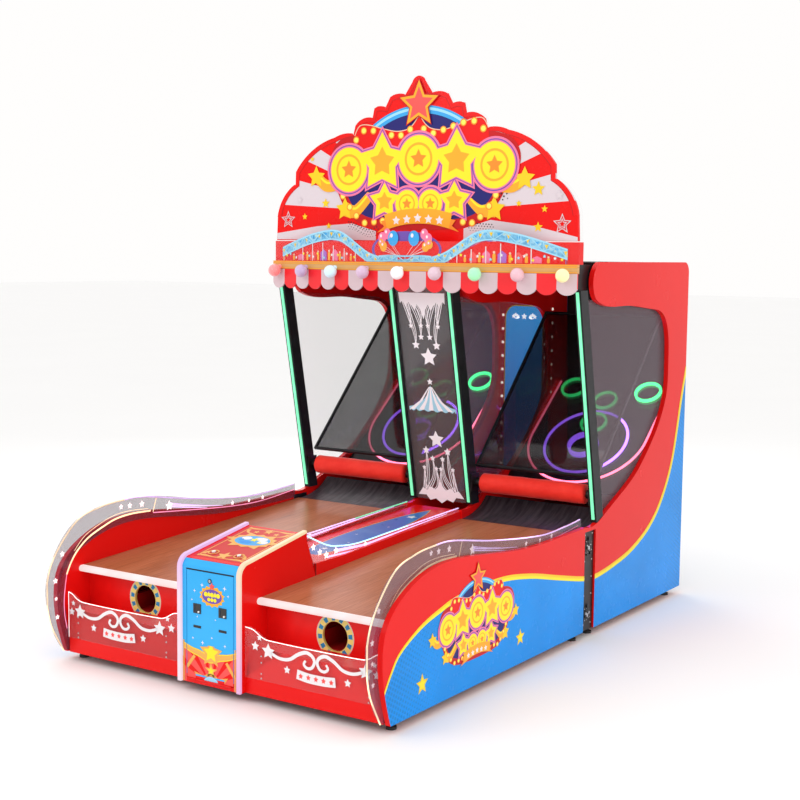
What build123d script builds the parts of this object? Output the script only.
"""Two-lane carnival alley roller: a ball-rolling redemption cabinet with two wooden lanes.

Lengths are millimetres. The parts are drawn with X to the right (seen from the player),
Y backwards from the face of the console door and Z up from the floor. They are written
out about the centre of the footprint, with the floor at Z = 0.
"""
import os
from math import asin, atan, cos, degrees, radians, sin, sqrt

from build123d import *

# ---- Driving dimensions: overall -------------------------------------------------
HALF_WIDTH = 900.0          # outer faces of the side boards
BOARD = 24.0                # side board thickness
FRONT_Y = -106.4            # front of the clear side fins
BACK_Y = 2895.0             # back edge of the rear boards
BASE_Z = 40.0               # underside of all the boards
INNER = HALF_WIDTH - BOARD  # inner faces of the side boards
MODULE_Y = 1750.0           # where the front and rear modules meet
MODULE_STRIP = (1691.0, 1808.0, 532.0)  # front, back and top of the joint strip

# ---- Base frame, feet and casters ------------------------------------------------
RAIL = 50.0
RAIL_Z = 70.0
RAIL_TOP = RAIL_Z + RAIL
MIDDLE_RAIL = 100.0
FRONT_CROSSES = (110.0, 850.0, 1640.0)
REAR_CROSSES = (1810.0, 2600.0, 2818.0)
FOOT_X = 851.0
FOOT_PAD_R = 22.0
FOOT_PAD_H = 12.0
CASTER_X = 735.0
CASTER_FRONT_Y = 135.0
CASTER_REAR_Y = 2843.0
WHEEL_R = 25.0
WHEEL_W = 20.0
WHEEL_LIFT = 2.5            # the feet carry the machine and the wheels clear the floor
AXLE_R = 3.0
KINGPIN_R = 4.0
CASTER_TRAIL = 18.0
RUNNING_GAP = 0.08          # radial gap of the running fits

# ---- Lanes -----------------------------------------------------------------------
SPINE = 173.0               # half width of the console and the divider
LANE_X = 528.0              # centre line of each lane
LANE_START = 125.0
LANE_END = 1735.0
LANE_LOW = 424.0            # rolling surface at its front and back ends
LANE_HIGH = 511.0
LANE_T = 25.0
NOSE_DEPTH = 28.0

# ---- Ball trays ------------------------------------------------------------------
GUARD_Y = 16.0
GUARD_T = 8.0
KICK_T = 16.0
TRAY_EDGE = 865.0
TRAY_FLOOR = 240.0
TRAY_WALL = 165.0
TRAY_BOARD = 12.0
BALL_HOLE_R = 63.0
BALL_HOLE_Z = 303.5

# ---- Console ---------------------------------------------------------------------
CHEEK = 20.0
CONSOLE_IN = SPINE - CHEEK
CONSOLE_PEAK = (439.0, 645.0)
CONSOLE_CORNER = (45.0, 577.0)
CONSOLE_FRONT_TOP = 530.0
FASCIA_TOP = 541.0
EDGE_LIGHT = 12.0
DOOR_HALF = 128.0
DOOR_LOW = 61.0
DOOR_HIGH = 526.0
DOOR_T = 18.0
DOOR_GAP = 3.0
HINGE_PIN_R = 2.0
HINGE_R = 4.0
HINGE_AXIS = (-4.0, 59.0)   # y and z of the door hinge
LOCK_Z = 491.0
LOCK_R = 10.0
PLUG_R = 6.0
COIN_X = 70.0
COIN_Z = 365.0
COIN_PLATE = 41.0
RETURN_Z = 287.0
REJECT_R = 4.0
REJECT_TRAVEL = 4.0
START_R = 9.0
START_TRAVEL = 3.0
START_ALONG = 62.0          # from the console's front corner, along its sloping top

# ---- Divider between the lanes ---------------------------------------------------
DIVIDER_SIDE = 12.0
DIVIDER_FIN = 8.0
DIVIDER_TOP_T = 12.0

# ---- Target end ------------------------------------------------------------------
PARTITION = (160.0, 180.0)
PANE_T = 6.0
POST_W = 34.0
POST_D = 75.0
POST_X = (173.0, 881.0)     # centre lines of the inner and outer posts
POST_FOOT = (1820.0, 560.0)
POST_HEAD = (1590.0, 1668.0)
POST_TOP_Z = 1696.0
LED_W = 14.0
LED_T = 6.0
ROLLER_Y = 1850.0
ROLLER_Z = 690.0
ROLLER_R = 50.0
ROLLER_X = (233.0, 827.0)
ROLLER_AXLE_R = 8.0
PANE_LOW = (1870.0, 770.0)
PANE_HIGH = (2610.0, 1545.0)
PANE_FRAME = 12.0
TARGET_ANGLE = 38.5
TARGET_ORIGIN = (2400.0, 828.0)
TARGET_SPAN = (-290.0, 530.0)
TARGET_EDGE = 868.0
TARGET_T = 12.0
RING_H = 30.0
SCORE_HOLES = {             # across the lane, up the board, outer radius of the collar
    "top_left": (-224.0, 445.0, 75.0),
    "top_right": (224.0, 445.0, 75.0),
    "upper": (0.0, 361.0, 68.0),
    "middle": (0.0, 184.0, 75.0),
}
BOWL_HOLE = (0.0, 20.0, 84.0)
RING_WALL = 12.0
BIG_RING = (53.0, 230.0, 7.0)       # up the board, radius, tube radius
OUTLINE = (85.0, 334.0, 505.0, 6.0)  # arc centre, half width, top, tube radius

# ---- Rear shell ------------------------------------------------------------------
REAR_PANEL_Y = (2870.0, 2882.0)
ROOF = (1816.0, 1828.0)
BAY_BOARD_Y = (2693.0, 2705.0)
ROOF_R = 67.0
SERVICE_HALF = 338.0
SERVICE_Z = (162.0, 998.0)
SERVICE_HINGE = (-341.5, 2886.5)
INLET = (-630.0, -570.0, 230.0, 290.0)
ROCKER_R = 10.0

# ---- Header ----------------------------------------------------------------------
HEADER_Y = 1561.0           # face of the flat marquee board
HEADER_BOW = 120.0
HEADER_BACK = 1600.0
BEAM_Z = (1774.0, 1817.0)
BEAM_T = 20.0
BOX_TOP = 1921.0
AWNING_LOW = 1673.0
AWNING_T = 8.0
SCALLOPS = 19
SCALLOP_DROP = 30.0
GLOBES = 9
GLOBE_R = 33.0
GLOBE_Z = 1766.0
GLOBE_PITCH = 210.0
MARQUEE_T = 18.0
MARQUEE_EDGE_T = 8.0

Y_CENTRE = (FRONT_Y + BACK_Y) / 2


# ---- Shape helpers ---------------------------------------------------------------
def block(x0, x1, y0, y1, z0, z1):
    """Box between two corners."""
    return Pos(x0, y0, z0) * Box(x1 - x0, y1 - y0, z1 - z0, align=(Align.MIN,) * 3)


def side_cut(outline, x0, x1):
    """Board in a YZ plane, from x0 to x1, with its edge drawn as (y, z)."""
    face = make_face(Plane.YZ.offset(x0) * outline)
    return extrude(face, amount=x1 - x0, dir=(1, 0, 0))


def front_cut(outline, y0, y1):
    """Board in an XZ plane, from y0 to y1, with its edge drawn as (x, z)."""
    face = make_face(Plane.XZ.offset(-y0) * outline)
    return extrude(face, amount=y1 - y0, dir=(0, 1, 0))


def plan_cut(outline, z0, z1):
    """Board in an XY plane, from z0 to z1."""
    face = make_face(Plane.XY.offset(z0) * outline)
    return extrude(face, amount=z1 - z0, dir=(0, 0, 1))


def closed(*points):
    return Polyline(*points, close=True)


def joined(*edges):
    return Curve() + list(edges)


def pair(*solids):
    """The solids of the right-hand side and their mirror images."""
    return list(solids) + [mirror(solid, about=Plane.YZ) for solid in solids]


def rod(x0, x1, y, z, radius):
    """Round bar along X."""
    return Pos((x0 + x1) / 2, y, z) * Rot(0, 90, 0) * Cylinder(radius, x1 - x0)


def upright(x, y, z0, z1, radius):
    """Round bar along Z."""
    return Pos(x, y, (z0 + z1) / 2) * Cylinder(radius, z1 - z0)


def spindle(x, z, y0, y1, radius):
    """Round bar along Y."""
    return Pos(x, (y0 + y1) / 2, z) * Rot(90, 0, 0) * Cylinder(radius, y1 - y0)


# ---- Lines that several parts share ----------------------------------------------
def lane_z(y):
    """Height of the rolling surface."""
    return LANE_LOW + (y - LANE_START) * (LANE_HIGH - LANE_LOW) / (LANE_END - LANE_START)


def post_y(z):
    """Front face of the leaning posts."""
    lean = (POST_HEAD[0] - POST_FOOT[0]) / (POST_HEAD[1] - POST_FOOT[1])
    return POST_FOOT[0] + (z - POST_FOOT[1]) * lean


def leaning(x0, x1, z0, z1, back, front=0.0):
    """Bar between x0 and x1 that leans with the posts, from front to back behind their face."""
    return side_cut(
        closed(
            (post_y(z0) + front, z0),
            (post_y(z0) + back, z0),
            (post_y(z1) + back, z1),
            (post_y(z1) + front, z1),
        ),
        x0,
        x1,
    )


def header_arc(shift=0.0, inset=0.0):
    """Bowed line of the header in plan, moved forward by shift and cut short by inset."""
    x = HALF_WIDTH - inset
    radius = (HALF_WIDTH**2 + HEADER_BOW**2) / (2 * HEADER_BOW)
    centre_y = HEADER_Y - HEADER_BOW + radius
    end_y = centre_y - sqrt(radius**2 - x**2) - shift
    return ThreePointArc((-x, end_y), (0, HEADER_Y - HEADER_BOW - shift), (x, end_y))


def bowed_strip(front, back, z0, z1, inset=0.0):
    """Strip that follows the bow of the header, between two forward shifts."""
    near, far = header_arc(front, inset), header_arc(back, inset)
    ends = [Line(near @ 0, far @ 0), Line(near @ 1, far @ 1)]
    return plan_cut(joined(near, far, *ends), z0, z1)


def bowed_block(front, back_y, z0, z1, inset=0.0):
    """Block from the bow of the header back to a straight edge."""
    near = header_arc(front, inset)
    start, end = near @ 0, near @ 1
    back = Polyline((start.X, start.Y), (start.X, back_y), (end.X, back_y), (end.X, end.Y))
    return plan_cut(joined(near, back), z0, z1)


TARGET = Plane(
    origin=(LANE_X, *TARGET_ORIGIN),
    x_dir=(1, 0, 0),
    z_dir=(0, -sin(radians(TARGET_ANGLE)), cos(radians(TARGET_ANGLE))),
)
PANE_RUN = sqrt((PANE_HIGH[0] - PANE_LOW[0]) ** 2 + (PANE_HIGH[1] - PANE_LOW[1]) ** 2)
PANE_DIR = ((PANE_HIGH[0] - PANE_LOW[0]) / PANE_RUN, (PANE_HIGH[1] - PANE_LOW[1]) / PANE_RUN)
PANE = Plane(origin=(0, *PANE_LOW), x_dir=(1, 0, 0), z_dir=(0, -PANE_DIR[1], PANE_DIR[0]))
TOP_ANGLE = degrees(
    atan((CONSOLE_PEAK[1] - CONSOLE_CORNER[1]) / (CONSOLE_PEAK[0] - CONSOLE_CORNER[0]))
)
CONSOLE_SLOPE = Plane(
    origin=(0, *CONSOLE_CORNER),
    x_dir=(1, 0, 0),
    z_dir=(0, -sin(radians(TOP_ANGLE)), cos(radians(TOP_ANGLE))),
)


# ---- Base frame, feet and casters ------------------------------------------------
def rails(y0, y1, cross_ys):
    """Four long rails with cross rails butted between them."""
    pieces = pair(
        block(INNER - RAIL, INNER, y0, y1, RAIL_Z, RAIL_TOP),
        block(MIDDLE_RAIL, MIDDLE_RAIL + RAIL, y0, y1, RAIL_Z, RAIL_TOP),
    )
    for y in cross_ys:
        outer = block(MIDDLE_RAIL + RAIL, INNER - RAIL, y, y + RAIL, RAIL_Z, RAIL_TOP)
        pieces += pair(outer) + [block(-MIDDLE_RAIL, MIDDLE_RAIL, y, y + RAIL, RAIL_Z, RAIL_TOP)]
    return pieces


def notched(board, x0, x1, crosses):
    """The board with notches where the cross tubes pass through."""
    for y in crosses:
        board -= block(x0 - 1, x1 + 1, y, y + RAIL, RAIL_Z, RAIL_TOP)
    return board


def caster_plate(x, y):
    """Top plate and kingpin of a swivel caster."""
    plate_z = RAIL_Z - 3
    plate = block(x - 30, x + 30, y - 25, y + 25, plate_z, RAIL_Z)
    return [plate, upright(x, y, WHEEL_LIFT + 2 * WHEEL_R + 1.5, plate_z, KINGPIN_R)]


def fork(x, y, trail, bored):
    """Caster fork with its axle: the crown turns on the kingpin when it is bored."""
    axle_z = WHEEL_LIFT + WHEEL_R
    crown_z = (WHEEL_LIFT + 2 * WHEEL_R + 3.5, RAIL_Z - 3.5)
    crown = upright(x, y, *crown_z, 20)
    if bored:
        crown -= upright(x, y, crown_z[0] - 1, crown_z[1] + 1, KINGPIN_R + RUNNING_GAP)
    else:
        crown += upright(x, y, crown_z[1], RAIL_Z, 20)
    cheek_line = closed(
        (y - 14, crown_z[0]),
        (y + 14, crown_z[0]),
        (y + trail + 7, axle_z - 7),
        (y + trail - 7, axle_z - 7),
    )
    for x0 in (x - WHEEL_W / 2 - 5, x + WHEEL_W / 2 + 2):
        crown += side_cut(cheek_line, x0, x0 + 3)
        crown += block(x0, x0 + 3, y - 12, y + 12, crown_z[0] - 1, crown_z[0] + 1)
    return crown + rod(x - WHEEL_W / 2 - 4, x + WHEEL_W / 2 + 4, y + trail, axle_z, AXLE_R)


def wheel(x, y):
    axle_z = WHEEL_LIFT + WHEEL_R
    tread = rod(x - WHEEL_W / 2, x + WHEEL_W / 2, y, axle_z, WHEEL_R)
    return tread - rod(x - WHEEL_W, x + WHEEL_W, y, axle_z, AXLE_R + RUNNING_GAP)


def front_frame():
    """Base frame of the lane module, with legs under the lanes."""
    pieces = rails(75, MODULE_Y, FRONT_CROSSES)
    inner_x, outer_x, front_y = SPINE + 5, INNER - RAIL, 190.0
    for y in (front_y, *FRONT_CROSSES[1:]):
        for x in (inner_x, outer_x):
            pieces += pair(block(x, x + RAIL, y, y + RAIL, RAIL_TOP, lane_z(y) - LANE_T))
    cross_back = FRONT_CROSSES[0] + RAIL
    pieces += pair(block(inner_x, inner_x + RAIL, cross_back, front_y + RAIL, RAIL_Z, RAIL_TOP))
    for x in (-CASTER_X, CASTER_X):
        pieces += caster_plate(x, CASTER_FRONT_Y)
    return pieces


def rear_frame():
    """Base frame of the target module, with uprights, roof rails and the rigid casters."""
    pieces = rails(MODULE_Y, 2868, REAR_CROSSES)
    roof_low, knee_z = ROOF[0] - 26, 1745.0
    pieces += pair(
        block(INNER - RAIL, INNER, 2830, 2868, RAIL_TOP, knee_z - 45),
        block(INNER - BOARD, INNER, 2780, 2868, knee_z - 45, knee_z),
        block(INNER - BOARD, INNER, 2780, 2810, knee_z, roof_low),
        block(INNER - BOARD, INNER, 1800, 2810, roof_low, ROOF[0]),
    )
    return pieces + [fork(x, CASTER_REAR_Y, 0, False) for x in (-CASTER_X, CASTER_X)]


def levelling_feet():
    """Rubber pads on threaded stems under the side rails."""
    feet = []
    for y in (100.0, 1665.0, 1835.0, 2800.0):
        foot = upright(FOOT_X, y, 0, FOOT_PAD_H, FOOT_PAD_R)
        nut = Pos(FOOT_X, y, FOOT_PAD_H) * extrude(RegularPolygon(11, 6), 10)
        foot += nut + upright(FOOT_X, y, FOOT_PAD_H, RAIL_Z, 6)
        feet += pair(foot)
    return feet


# ---- Side boards -----------------------------------------------------------------
FRONT_PROFILE = [(-16, 157), (-34, 250), (-36, 330), (-20, 412), (34, 486), (120, 543), (207, 581),
                 (308, 605), (460, 616), (656, 602), (839, 580), (1116, 555), (1415, 551)]
FIN_PROFILE = [(-78, 177), (-102, 277), (-104, 371), (-56, 495), (79, 635), (221, 678), (369, 691),
               (521, 687), (856, 632), (1274, 584), (1526, 586)]
FIN_LAP = 35.0


def front_edge(shift=0.0):
    """Curved edge of the front side board, moved inwards by shift."""
    points = [(22 + shift, BASE_Z)]
    points += [(y + shift * inward(y), z - shift * (1 - inward(y))) for y, z in FRONT_PROFILE]
    return Spline(*points, (MODULE_STRIP[0], 556 - shift))


def inward(y):
    """Share of an inward shift that goes backwards: all of it in front, none along the top."""
    return min(1.0, max(0.0, (150.0 - y) / 180.0))


def side_panel():
    """Curved board beside a lane."""
    edge = front_edge()
    rest = Polyline(edge @ 1, (MODULE_STRIP[0], BASE_Z), edge @ 0)
    return side_cut(joined(edge, rest), INNER, HALF_WIDTH)


def side_fin():
    """Clear edge-lit sheet that stands out past the side board all along its curve."""
    outer = Spline((-8, 53), *FIN_PROFILE, (1690, 596))
    inner = front_edge(FIN_LAP)
    ends = [Line(outer @ 0, inner @ 0), Line(outer @ 1, inner @ 1)]
    return side_cut(joined(outer, inner, *ends), INNER - 10, INNER)


def joint_strip():
    """Steel strip over the joint between the modules, with its bolts and end cap."""
    y0, y1, top = MODULE_STRIP
    pieces = [block(INNER, INNER + 14, y0, y1, BASE_Z, top)]
    for z in (110, 140, 420, 450, 480):
        pieces.append(rod(INNER + 14, INNER + 20, y0 + 40, z, 8))
        pieces.append(rod(INNER + 14, INNER + 20, y1 - 40, z, 8))
    return pieces


# ---- Lanes -----------------------------------------------------------------------
def lane_bed():
    outline = closed(
        (LANE_START, LANE_LOW - LANE_T),
        (LANE_END, LANE_HIGH - LANE_T),
        (LANE_END, LANE_HIGH),
        (LANE_START, LANE_LOW),
    )
    return side_cut(outline, SPINE, INNER)


def lane_nose():
    """Lit nosing in front of the lane."""
    low, high = LANE_LOW - NOSE_DEPTH, LANE_LOW
    arc = ThreePointArc(
        (LANE_START - 10, low), (LANE_START - NOSE_DEPTH, (low + high) / 2), (LANE_START - 10, high)
    )
    rest = Polyline(arc @ 1, (LANE_START, high), (LANE_START, low), arc @ 0)
    return side_cut(joined(arc, rest), SPINE, INNER)


def launch_ramp():
    """Curved ramp that throws the ball over the gap onto the target board."""
    top = Spline(
        (LANE_END, LANE_HIGH), (1850, 529), (1930, 562), (1980, 600), tangents=((1, 0.054), (1, 0.85))
    )
    under = Spline(
        (LANE_END, LANE_HIGH - 20), (1856, 510), (1941, 545), (1994, 586), tangents=((1, 0.054), (1, 0.85))
    )
    ends = [Line(top @ 0, under @ 0), Line(top @ 1, under @ 1)]
    return side_cut(joined(top, under, *ends), PARTITION[1], POST_X[1] - POST_W / 2 - 2)


def tray_pieces():
    """Kick board and tray floor."""
    kick = block(SPINE, TRAY_EDGE, GUARD_Y + GUARD_T, GUARD_Y + GUARD_T + KICK_T, BASE_Z, TRAY_FLOOR)
    floor_y = GUARD_Y + GUARD_T + KICK_T
    floor = block(SPINE, TRAY_EDGE, floor_y, TRAY_WALL, TRAY_FLOOR - TRAY_BOARD, TRAY_FLOOR)
    return [kick, floor]


def tray_wall():
    """Wall under the lane's front end, with the ball return hole."""
    wall = block(SPINE, INNER, TRAY_WALL, TRAY_WALL + TRAY_BOARD, 180, LANE_LOW - LANE_T)
    return wall - spindle(LANE_X, BALL_HOLE_Z, TRAY_WALL - 5, TRAY_WALL + TRAY_BOARD + 5, BALL_HOLE_R)


def ball_guard():
    """Clear front sheet of the tray, with its dipping top edge."""
    left, right = SPINE + 3, TRAY_EDGE - 3
    top = Spline(
        (left, 325), (left + 45, 318), (left + 100, 290), (LANE_X, 284), (right - 70, 292),
        (right - 25, 316), (right, 323),
    )
    rest = Polyline(top @ 1, (right, 110), (left, 110), top @ 0)
    return front_cut(joined(top, rest), GUARD_Y, GUARD_Y + GUARD_T)


def return_way():
    """Channel under the lane that brings the balls back, and the collector behind it."""
    front, back = (TRAY_WALL + TRAY_BOARD, 246.0), (2150.0, 326.0)
    half, wall_t, wall_h = 62.0, 8.0, 70.0

    def strip(x0, x1, low, high):
        outline = closed(
            (front[0], front[1] + low),
            (back[0], back[1] + low),
            (back[0], back[1] + high),
            (front[0], front[1] + high),
        )
        return side_cut(outline, LANE_X + x0, LANE_X + x1)

    channel = strip(-half - wall_t, half + wall_t, -wall_t, 0)
    channel += strip(-half - wall_t, -half, -wall_t, wall_h)
    channel += strip(half, half + wall_t, -wall_t, wall_h)
    slope = closed((2152, 318), (2805, 508), (2805, 520), (2152, 330))
    return [channel, side_cut(slope, PARTITION[1], TARGET_EDGE)]


# ---- Console ---------------------------------------------------------------------
def cheek_edge(grow=0.0):
    """Front and top edge of a console cheek, grown outwards."""
    front = Line((-grow, BASE_Z), (-grow, CONSOLE_FRONT_TOP))
    run = Vector(CONSOLE_PEAK[0] - CONSOLE_CORNER[0], CONSOLE_PEAK[1] - CONSOLE_CORNER[1]).normalized()
    out = Vector(-run.Y, run.X) * grow
    corner, peak = Vector(*CONSOLE_CORNER) + out, Vector(*CONSOLE_PEAK) + out
    bend = TangentArc(front @ 1, corner, tangent=(0, 1))
    return [front, bend, Line(corner, peak)]


def console_cheek():
    edge = cheek_edge()
    rest = Polyline(edge[-1] @ 1, (438, 608), (501, 446), (501, BASE_Z), edge[0] @ 0)
    cheek = side_cut(joined(*edge, rest), CONSOLE_IN, SPINE)
    return notched(cheek, CONSOLE_IN, SPINE, FRONT_CROSSES[:1])


def console_edge_light():
    """Lit strip that caps the front and top edge of a cheek."""
    inner, outer = cheek_edge(), cheek_edge(EDGE_LIGHT)
    ends = [Line(inner[0] @ 0, outer[0] @ 0), Line(inner[-1] @ 1, outer[-1] @ 1)]
    return side_cut(joined(*inner, *outer, *ends), CONSOLE_IN, SPINE)


def console_surround():
    """Fascia round the door, its rounded nose and the fixed half of the hinge."""
    fascia = block(-CONSOLE_IN, CONSOLE_IN, 0, DOOR_T, BASE_Z, FASCIA_TOP)
    outer = [(0.5, FASCIA_TOP), (3, 547.5), (9, 557), (16, 565), (22.5, 569.5)]
    inner = [(24, 564.5), (17, 559.5), (11.5, 551), (8.5, FASCIA_TOP)]
    nose = side_cut(closed(*outer, *inner), -CONSOLE_IN, CONSOLE_IN)
    half = DOOR_HALF + DOOR_GAP
    fascia -= block(-half, half, -1, DOOR_T + 1, DOOR_LOW - DOOR_GAP, DOOR_HIGH + DOOR_GAP)
    y, z = HINGE_AXIS
    pin = rod(-120, 120, y, z, HINGE_PIN_R)
    for x in (-120, -20, 80):
        pin += rod(x, x + 40, y, z, HINGE_R)
        pin += block(x, x + 40, -1.5, 0, BASE_Z + 2, z)
    return [fascia, nose, pin]


def console_top():
    """Sloping printed top with the two button holes, and the board behind it."""
    length = sqrt(
        (CONSOLE_PEAK[0] - CONSOLE_CORNER[0]) ** 2 + (CONSOLE_PEAK[1] - CONSOLE_CORNER[1]) ** 2
    )
    top = CONSOLE_SLOPE * (Pos(0, length / 2 - 12, -8) * Box(2 * CONSOLE_IN, length + 20, 12))
    for x in (-COIN_X, COIN_X):
        top -= CONSOLE_SLOPE * (Pos(x, START_ALONG, -8) * Cylinder(START_R - 3, 20))
    back = side_cut(closed((441, 630), (453, 630), (516, 486), (504, 486)), -CONSOLE_IN, CONSOLE_IN)
    return [top, back]


def start_button(x):
    """Round button on a stem: the head stands clear of the top by its travel."""
    head = Pos(0, 0, START_TRAVEL + 1) * Cylinder(START_R, 4, align=(Align.CENTER, Align.CENTER, Align.MIN))
    stem = Pos(0, 0, -20) * Cylinder(START_R - 4, 25, align=(Align.CENTER, Align.CENTER, Align.MIN))
    return CONSOLE_SLOPE * (Pos(x, START_ALONG, -2) * (head + stem))


def coin_door():
    """Cash door with the moving half of its hinge and holes for its fittings."""
    door = block(-DOOR_HALF, DOOR_HALF, 0, DOOR_T, DOOR_LOW, DOOR_HIGH)
    door -= spindle(0, LOCK_Z, -1, DOOR_T + 1, LOCK_R - 0.5)
    for x in (-COIN_X, COIN_X):
        door -= spindle(x + 12, COIN_Z - 12, -1, DOOR_T + 1, REJECT_R + 0.5)
        door -= block(x - 12, x - 9, -1, DOOR_T + 1, COIN_Z - 14, COIN_Z + 14)
    y, z = HINGE_AXIS
    for x in (-79.7, 20.3):
        knuckle = rod(x, x + 59.4, y, z, HINGE_R) + block(x, x + 59.4, -1.5, 0, z, DOOR_LOW + 20)
        door += knuckle - rod(x - 1, x + 61, y, z, HINGE_PIN_R + RUNNING_GAP)
    return [door]


def coin_fittings():
    """Lock barrel, coin entry plates, return slots and the coin mechanisms behind them."""
    barrel = spindle(0, LOCK_Z, -3, 0, LOCK_R) + spindle(0, LOCK_Z, -3, DOOR_T + 1, LOCK_R - 0.5)
    pieces = [barrel - spindle(0, LOCK_Z, -4, DOOR_T + 2, PLUG_R + RUNNING_GAP)]
    half = COIN_PLATE / 2
    for x in (-COIN_X, COIN_X):
        plate = block(x - half, x + half, -3, 0, COIN_Z - half, COIN_Z + half)
        plate -= spindle(x + 12, COIN_Z - 12, -4, 1, REJECT_R + 0.5)
        pieces.append(plate - block(x - 12, x - 9, -4, 1, COIN_Z - 14, COIN_Z + 14))
        slot = block(x - half, x + half, -2, 0, RETURN_Z - 5, RETURN_Z + 5)
        pieces.append(slot - block(x - half + 2, x + half - 2, -3, -1, RETURN_Z - 2, RETURN_Z + 2))
        mech = block(x - 32, x + 6, DOOR_T, DOOR_T + 70, COIN_Z - 45, COIN_Z + 45)
        pieces.append(mech)
    return pieces


def lock_cam():
    """Key plug with the cam that turns behind the fascia."""
    plug = spindle(0, LOCK_Z, -2.5, DOOR_T + 1.5, PLUG_R)
    plug -= block(-4, 4, -4, -0.5, LOCK_Z - 0.6, LOCK_Z + 0.6)
    arm = block(-9, 52, DOOR_T + 1.5, DOOR_T + 4.5, LOCK_Z - 9, LOCK_Z + 9)
    return [plug + arm]


def reject_button(x):
    return [spindle(x + 12, COIN_Z - 12, -3 - REJECT_TRAVEL - 1, DOOR_T - REJECT_TRAVEL - 2, REJECT_R)]


# ---- Divider ---------------------------------------------------------------------
def divider_pieces():
    """Side boards and the printed top between the lanes."""
    side = side_cut(
        closed((503, BASE_Z), (LANE_END, BASE_Z), (LANE_END, 550), (700, 500), (503, 500)),
        SPINE - DIVIDER_SIDE,
        SPINE,
    )
    side = notched(side, SPINE - DIVIDER_SIDE, SPINE, FRONT_CROSSES[1:])
    top = side_cut(
        closed((518, 488), (700, 488), (1800, 541), (1800, 541 - DIVIDER_TOP_T),
               (700, 488 - DIVIDER_TOP_T), (518, 488 - DIVIDER_TOP_T)),
        -CONSOLE_IN,
        CONSOLE_IN,
    )
    return pair(side) + [top]


def divider_fin():
    """Clear edge-lit sheet along each side of the divider."""
    top = Spline((452, 634), (519, 603), (596, 570), (674, 550), (845, 535), (1172, 546), (1534, 560),
                 (LANE_END, 567))
    rest = Polyline(top @ 1, (LANE_END, 500), (510, 455), top @ 0)
    return side_cut(joined(top, rest), CONSOLE_IN, CONSOLE_IN + DIVIDER_FIN)


# ---- Target end: boards, posts, panes --------------------------------------------
WINDOW_LINE = [(1757, 1647), (1792, 1634), (2109, 1614), (2412, 1590), (2575, 1549), (2628, 1472),
               (2647, 1311), (2639, 1151), (2557, 998), (2411, 854), (2255, 742), (2078, 662),
               (1896, 587), (1852, 569)]


def hooked_outline(front_y, notch):
    """C-shaped outline of the rear boards, open to the front between post foot and arm."""
    window = Spline(*WINDOW_LINE, (front_y, 556))
    nose = ThreePointArc((1757, 1647), (1713, 1748), (1785, 1830))
    corner = ThreePointArc((2835, 1830), (2880, 1812), (BACK_Y, 1768))
    foot = [(front_y, 556)]
    if notch:
        foot += [(front_y, MODULE_STRIP[2]), (MODULE_STRIP[1], MODULE_STRIP[2]), (MODULE_STRIP[1], BASE_Z)]
    else:
        foot += [(front_y, BASE_Z)]
    rest = Polyline(*foot, (BACK_Y, BASE_Z), corner @ 1)
    return joined(window, nose, Line(nose @ 1, corner @ 0), corner, rest)


def rear_board():
    return side_cut(hooked_outline(MODULE_STRIP[0], True), INNER, HALF_WIDTH)


def partition():
    """Inner hooked board beside the centre bay, cut back to the rear panel and roof."""
    board = side_cut(hooked_outline(LANE_END, False), *PARTITION)
    board -= block(PARTITION[0] - 1, PARTITION[1] + 1, REAR_PANEL_Y[0], BACK_Y + 10, 0, 2000)
    board -= block(PARTITION[0] - 1, PARTITION[1] + 1, 1500, BACK_Y + 10, ROOF[0], 2000)
    board -= block(PARTITION[0] - 1, PARTITION[1] + 1, 1500, HEADER_BACK, 0, 2000)
    board -= block(PARTITION[0] - 1, PARTITION[1] + 1, 2806, BACK_Y + 10, 1752, 2000)
    return notched(board, *PARTITION, REAR_CROSSES)


def bay_board():
    """Upright board that closes the centre bay behind the two inner boards."""
    return block(-PARTITION[0], PARTITION[0], *BAY_BOARD_Y, 560, ROOF[0])


def posts():
    """Leaning posts that stand on the boards and carry the header."""
    inner_x, outer_x = POST_X
    outer = leaning(outer_x - POST_W / 2, outer_x + POST_W / 2, POST_FOOT[1], POST_TOP_Z, POST_D)
    inner = leaning(inner_x - POST_W / 2, inner_x + POST_W / 2, 575, POST_TOP_Z, POST_D)
    return pair(outer - rear_board(), inner - partition())


def post_strips():
    strips = []
    for x, low in zip(POST_X, (585, 575)):
        strips += pair(leaning(x - LED_W / 2, x + LED_W / 2, low, POST_TOP_Z - 8, 0, -LED_T))
    return strips


def window_pane(x0, x1):
    """Clear sheet behind the window of a hooked board, up to the back of the post."""
    low, high = 604.0, 1648.0
    back = Spline(
        (post_y(low) + POST_D + 16, low), (2085, 650), (2270, 732), (2430, 845), (2580, 990),
        (2662, 1145), (2672, 1311), (2652, 1480), (2592, 1568), (2412, 1612), (2109, 1632),
        (post_y(high) + POST_D + 100, high),
    )
    front = Polyline(back @ 1, (post_y(high) + POST_D + 1, high), (post_y(low) + POST_D + 1, low), back @ 0)
    return side_cut(joined(back, front), x0, x1)


def windows():
    outer = window_pane(INNER - PANE_T, INNER)
    inner = window_pane(PARTITION[0] - PANE_T, PARTITION[0])
    return pair(outer, inner)


def pane_frame():
    """Black edging of the sloping pane."""
    x0, x1 = PARTITION[1], INNER - PANE_T - 1
    middle, width = (x0 + x1) / 2, x1 - x0
    outer = Pos(middle, PANE_RUN / 2, 0) * Box(width, PANE_RUN, 16)
    inner = Pos(middle, PANE_RUN / 2, 0) * Box(width - 2 * PANE_FRAME, PANE_RUN - 2 * PANE_FRAME, 20)
    return PANE * (outer - inner)


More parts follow.
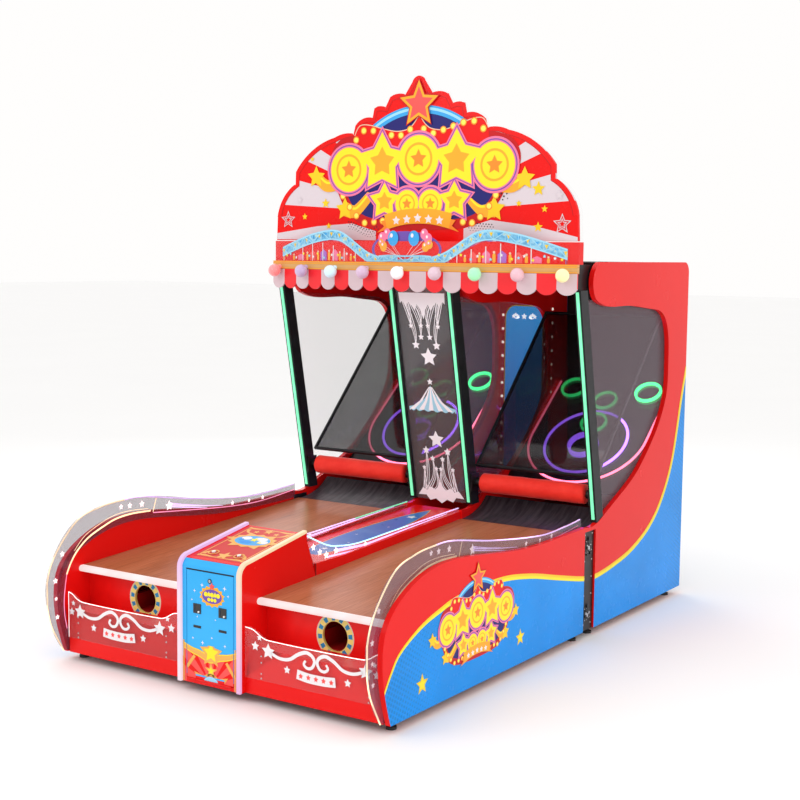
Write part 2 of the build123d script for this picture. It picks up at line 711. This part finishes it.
def sloped_pane():
    x0, x1 = PARTITION[1] + PANE_FRAME, INNER - PANE_T - 1 - PANE_FRAME
    sheet = Box(x1 - x0, PANE_RUN - 2 * PANE_FRAME, PANE_T)
    return PANE * (Pos((x0 + x1) / 2, PANE_RUN / 2, 0) * sheet)


def centre_display():
    """Smoked sheet with printed stars between the inner posts."""
    half = POST_X[0] - POST_W / 2
    return [leaning(-half, half, 575, POST_TOP_Z, 18, 12)]


# ---- Target boards and their lights ----------------------------------------------
def target_board():
    low, high = TARGET_SPAN
    left, right = PARTITION[1] - LANE_X, TARGET_EDGE - LANE_X
    board = Pos((left + right) / 2, (low + high) / 2, -TARGET_T / 2) * Box(right - left, high - low, TARGET_T)
    for x, s, radius in (*SCORE_HOLES.values(), BOWL_HOLE):
        board -= Pos(x, s, 0) * Cylinder(radius - RING_WALL, 3 * TARGET_T)
    return TARGET * board


def collar(x, s, radius):
    """Lit collar round a scoring hole."""
    ring = Cylinder(radius, RING_H) - Cylinder(radius - RING_WALL, RING_H + 2)
    return TARGET * (Pos(x, s, RING_H / 2) * ring)


def big_ring():
    s, radius, tube = BIG_RING
    return TARGET * (Pos(0, s, tube + 0.5) * Torus(radius, tube))


def neon_outline():
    """Tube that runs down both sides of the target board and round below the rings."""
    s, half, top, tube = OUTLINE
    path = joined(
        Line((-half, top), (-half, s)),
        ThreePointArc((-half, s), (0, s - half), (half, s)),
        Line((half, s), (half, top)),
    )
    profile = Plane(origin=(-half, top, 0), z_dir=(0, -1, 0)) * Circle(tube)
    return TARGET * (Pos(0, 0, tube + 0.5) * sweep(profile, path=path))


# ---- Foam rollers ----------------------------------------------------------------
def roller_mount():
    """Brackets on the posts and the fixed axle between them."""
    mount = rod(196, 858, ROLLER_Y, ROLLER_Z, ROLLER_AXLE_R)
    ends = (
        (POST_X[0] + POST_W / 2, POST_X[0] + POST_W / 2 + 6, ROLLER_X[0] - 2),
        (POST_X[1] - POST_W / 2, POST_X[1] - POST_W / 2 - 6, ROLLER_X[1] + 2),
    )
    for face, plate, boss in ends:
        mount += block(min(face, plate), max(face, plate), 1800, 1876, ROLLER_Z - 45, ROLLER_Z + 45)
        mount += rod(min(plate, boss), max(plate, boss), ROLLER_Y, ROLLER_Z, 22)
    return mount


def foam_roller():
    roller = rod(*ROLLER_X, ROLLER_Y, ROLLER_Z, ROLLER_R)
    return roller - rod(ROLLER_X[0] - 5, ROLLER_X[1] + 5, ROLLER_Y, ROLLER_Z, ROLLER_AXLE_R + RUNNING_GAP)


# ---- Rear shell ------------------------------------------------------------------
def rear_panel():
    """Back panel with the service opening, the inlet cut-out and the fixed hinge halves."""
    y0, y1 = REAR_PANEL_Y
    panel = block(-INNER, INNER, y0, y1, BASE_Z, ROOF[1] - ROOF_R)
    half = SERVICE_HALF + DOOR_GAP
    low, high = SERVICE_Z[0] - DOOR_GAP, SERVICE_Z[1] + DOOR_GAP
    panel -= block(-half, half, y0 - 1, y1 + 1, low, high)
    panel -= block(INLET[0], INLET[1], y0 - 1, y1 + 1, INLET[2], INLET[3])
    x, y = SERVICE_HINGE
    hinges = []
    for z in (300, 860):
        pin = upright(x, y, z - 30, z + 30, HINGE_PIN_R) + upright(x, y, z - 30, z, HINGE_R)
        hinges.append(pin + block(x - 25, x, y1, y1 + 1.5, z - 30, z))
    return [panel, *hinges]


def service_door():
    y0, y1 = REAR_PANEL_Y
    door = block(-SERVICE_HALF, SERVICE_HALF, y0, y1, *SERVICE_Z)
    x, y = SERVICE_HINGE
    for z in (300, 860):
        knuckle = upright(x, y, z + 0.3, z + 30, HINGE_R) + block(x, x + 28, y1, y1 + 1.5, z + 0.3, z + 30)
        door += knuckle - upright(x, y, z - 2, z + 40, HINGE_PIN_R + RUNNING_GAP)
    return [door]


def roof_panel():
    """Roof that turns down over the back."""
    low, high = ROOF
    corner = (REAR_PANEL_Y[1], high - ROOF_R)
    diagonal = ROOF_R * (1 - cos(radians(45)))
    outer = ThreePointArc(
        (corner[0] - ROOF_R, high), (corner[0] - diagonal, high - diagonal), corner
    )
    thick = high - low
    inner_r = ROOF_R - thick
    bend = inner_r * cos(radians(45))
    inner = ThreePointArc(
        (corner[0] - ROOF_R, low),
        (corner[0] - ROOF_R + bend, corner[1] + bend),
        (corner[0] - thick, corner[1]),
    )
    rest = [
        Line(outer @ 1, inner @ 1),
        Polyline(outer @ 0, (1800, high), (1800, low), inner @ 0),
    ]
    return [side_cut(joined(outer, inner, *rest), -INNER, INNER)]


def electrics():
    """Power inlet in the rear panel, power supply and control box on the base frame."""
    x0, x1, z0, z1 = INLET
    inlet = block(x0, x1, 2850, REAR_PANEL_Y[1] + 3, z0, z1)
    inlet -= block(x0 + 5, x0 + 25, 2862, 2890, z0 + 18, z0 + 42)
    inlet -= block(x0 + 31, x1 - 4, 2866, 2890, z0 + 15, z0 + 45)
    supply = block(-120, -20, 2560, 2750, RAIL_TOP, RAIL_TOP + 70)
    control = block(10, 140, 2560, 2760, RAIL_TOP, RAIL_TOP + 90)
    return [inlet, supply, control]


def power_switch():
    """Rocker that turns about X in the inlet."""
    x0, z = INLET[0] + 6, (INLET[2] + INLET[3]) / 2
    y = REAR_PANEL_Y[1] - 6
    drum = rod(x0, x0 + 18, y, z, ROCKER_R)
    notch = side_cut(closed((y + 14, z - 12), (y + 14, z + 12), (y + 7, z)), x0 - 1, x0 + 19)
    return [drum - notch]


# ---- Header ----------------------------------------------------------------------
def header_frame():
    """Black carrier of the header: side plates, rear board and bowed shelf."""
    plate = block(845, 869, 1575, 1800, POST_TOP_Z, ROOF[0])
    frame = block(-869, 869, HEADER_BACK - 18, HEADER_BACK, POST_TOP_Z, ROOF[0])
    frame += plate + mirror(plate, about=Plane.YZ)
    return [frame + bowed_block(0, HEADER_BACK, BEAM_Z[1] - 18, BEAM_Z[1], 2)]


def header_box():
    """Hollow printed box above the beam."""
    box = bowed_block(0, HEADER_BACK, BEAM_Z[1], BOX_TOP)
    return [box - bowed_block(-15, HEADER_BACK - 15, BEAM_Z[1] + 15, BOX_TOP - 15, 15)]


def awning():
    """Curved valance with a scalloped lower edge."""
    strip = bowed_strip(BEAM_T, BEAM_T - AWNING_T, AWNING_LOW, BEAM_Z[0])
    pitch = 2 * HALF_WIDTH / SCALLOPS
    valley = AWNING_LOW + SCALLOP_DROP
    arcs = [
        ThreePointArc(
            (-HALF_WIDTH + i * pitch, valley),
            (-HALF_WIDTH + (i + 0.5) * pitch, AWNING_LOW),
            (-HALF_WIDTH + (i + 1) * pitch, valley),
        )
        for i in range(SCALLOPS)
    ]
    rest = Polyline(arcs[-1] @ 1, (HALF_WIDTH, BEAM_Z[0]), (-HALF_WIDTH, BEAM_Z[0]), arcs[0] @ 0)
    mask = front_cut(joined(*arcs, rest), 1300, 1700)
    return [strip & mask]


def globes():
    """Round lamps on short holders, square to the bowed beam."""
    radius = (HALF_WIDTH**2 + HEADER_BOW**2) / (2 * HEADER_BOW)
    centre_y = HEADER_Y - HEADER_BOW + radius - BEAM_T
    lamps = []
    for i in range(GLOBES):
        angle = degrees(asin((i - GLOBES // 2) * GLOBE_PITCH / radius))
        holder = spindle(0, BEAM_Z[0] + 12, -radius - 9, -radius - 0.3, 11)
        globe = Pos(0, -radius - 6 - GLOBE_R, GLOBE_Z) * Sphere(GLOBE_R)
        lamps.append(Pos(0, centre_y, 0) * Rot(0, 0, angle) * (globe + holder))
    return lamps


def marquee_outline(grow=0.0):
    """Stepped outline of the marquee, symmetrical about its peak and grown outwards."""
    steps = [
        ((905, 1925), None, (900, 2050)),
        ((900, 2050), (858, 2152), (776, 2222)),
        ((776, 2222), None, (774, 2290)),
        ((774, 2290), (660, 2400), (524, 2456)),
        ((524, 2456), (462, 2474), (396, 2470)),
        ((396, 2470), None, (382, 2520)),
        ((382, 2520), (330, 2550), (275, 2545)),
        ((275, 2545), None, (262, 2604)),
        ((262, 2604), (230, 2606), (197, 2597)),
        ((197, 2597), None, (165, 2654)),
        ((165, 2654), (120, 2664), (76, 2656)),
        ((76, 2656), None, (28, 2725)),
        ((28, 2725), (16, 2742), (0, 2748)),
    ]
    top, foot = 2748.0, 1925.0
    wide, high = 1 + grow / 905, 1 + grow / (top - foot)

    def place(point, side):
        return (side * point[0] * wide, foot + (point[1] - foot) * high)

    edges = []
    for side in (1, -1):
        for start, middle, end in steps:
            if middle is None:
                edges.append(Line(place(start, side), place(end, side)))
            else:
                edges.append(ThreePointArc(place(start, side), place(middle, side), place(end, side)))
    edges.append(Line(place((905, 1925), 1), place((905, 1925), -1)))
    return joined(*edges)


MARQUEE_GROW = 14.0


def marquee_board():
    board = front_cut(marquee_outline(-MARQUEE_GROW), HEADER_Y, HEADER_Y + MARQUEE_T)
    return [board, block(-700, 700, HEADER_Y, HEADER_Y + MARQUEE_T, BOX_TOP, 1925)]


def header_acrylic():
    """Clear backing that frames the marquee and the clear bowed cover of the box."""
    edge = front_cut(marquee_outline(), HEADER_Y + MARQUEE_T, HEADER_Y + MARQUEE_T + MARQUEE_EDGE_T)
    cover = bowed_strip(8, 5, BEAM_Z[1], BOX_TOP)
    for side in (-1, 1):
        end = bowed_strip(5, 0, BEAM_Z[1], BOX_TOP)
        x0, x1 = sorted((side * (HALF_WIDTH - 12), side * HALF_WIDTH))
        cover += end & block(x0, x1, 1300, 1700, BEAM_Z[1], BOX_TOP)
    return [edge, cover]


# ---- All sub-parts ---------------------------------------------------------------
def build_nodes():
    """Every node's solids, in the machine's own frame."""
    panel, fin, board = side_panel(), side_fin(), rear_board()
    collars = [collar(*hole) for hole in SCORE_HOLES.values()]
    casters = {
        "caster_fork_left": fork(-CASTER_X, CASTER_FRONT_Y, CASTER_TRAIL, True),
        "caster_fork_right": fork(CASTER_X, CASTER_FRONT_Y, CASTER_TRAIL, True),
        "caster_wheel_front_left": wheel(-CASTER_X, CASTER_FRONT_Y + CASTER_TRAIL),
        "caster_wheel_front_right": wheel(CASTER_X, CASTER_FRONT_Y + CASTER_TRAIL),
        "caster_wheel_rear_left": wheel(-CASTER_X, CASTER_REAR_Y),
        "caster_wheel_rear_right": wheel(CASTER_X, CASTER_REAR_Y),
    }
    nodes = {
        "front_frame": front_frame(),
        "rear_frame": rear_frame(),
        "levelling_feet": levelling_feet(),
        "side_panel_right": [panel],
        "side_panel_left": [mirror(panel, about=Plane.YZ)],
        "side_fins": pair(fin),
        "joint_strips": pair(*joint_strip()),
        "lane_beds": pair(lane_bed()),
        "edge_lights": pair(lane_nose(), console_edge_light()),
        "launch_ramps": pair(launch_ramp()),
        "tray_boards": pair(*tray_pieces()),
        "tray_walls": pair(tray_wall()),
        "ball_guards": pair(ball_guard()),
        "console_cheeks": pair(console_cheek()),
        "console_surround": console_surround(),
        "console_top": console_top(),
        "lane_divider": divider_pieces(),
        "divider_fins": pair(divider_fin()),
        "ball_returns": pair(*return_way()),
        "rear_board_right": [board],
        "rear_board_left": [mirror(board, about=Plane.YZ)],
        "partition_boards": pair(partition()) + [bay_board()],
        "leaning_posts": posts(),
        "post_lights": post_strips(),
        "side_windows": windows(),
        "sloped_panes": pair(sloped_pane()),
        "pane_frames": pair(pane_frame()),
        "centre_display": centre_display(),
        "target_boards": pair(target_board()),
        "score_ring_lights": pair(*collars),
        "bowl_ring_lights": pair(collar(*BOWL_HOLE), big_ring()),
        "outline_lights": pair(neon_outline()),
        "rear_panel": rear_panel(),
        "roof_panel": roof_panel(),
        "roller_mounts": pair(roller_mount()),
        "foam_roller_right": [foam_roller()],
        "foam_roller_left": [mirror(foam_roller(), about=Plane.YZ)],
        "electrics": electrics(),
        "power_switch": power_switch(),
        "service_door": service_door(),
        "header_frame": header_frame(),
        "header_box": header_box(),
        "fascia_beam": [bowed_strip(BEAM_T, 0, *BEAM_Z)],
        "awning": awning(),
        "globe_lights": globes(),
        "marquee_board": marquee_board(),
        "header_acrylic": header_acrylic(),
        "coin_door": coin_door(),
        "coin_fittings": coin_fittings(),
        "lock_cam": lock_cam(),
        "reject_button_left": reject_button(-COIN_X),
        "reject_button_right": reject_button(COIN_X),
        "start_button_left": [start_button(-COIN_X)],
        "start_button_right": [start_button(COIN_X)],
    }
    nodes.update({name: [solid] for name, solid in casters.items()})
    return nodes


def write_parts():
    os.makedirs("parts", exist_ok=True)
    for name, solids in build_nodes().items():
        placed = [Pos(0, -Y_CENTRE, 0) * solid for solid in solids]
        shape = placed[0] if len(placed) == 1 else Compound(children=placed)
        export_step(shape, f"parts/{name}.step")


if __name__ == "__main__":
    write_parts()
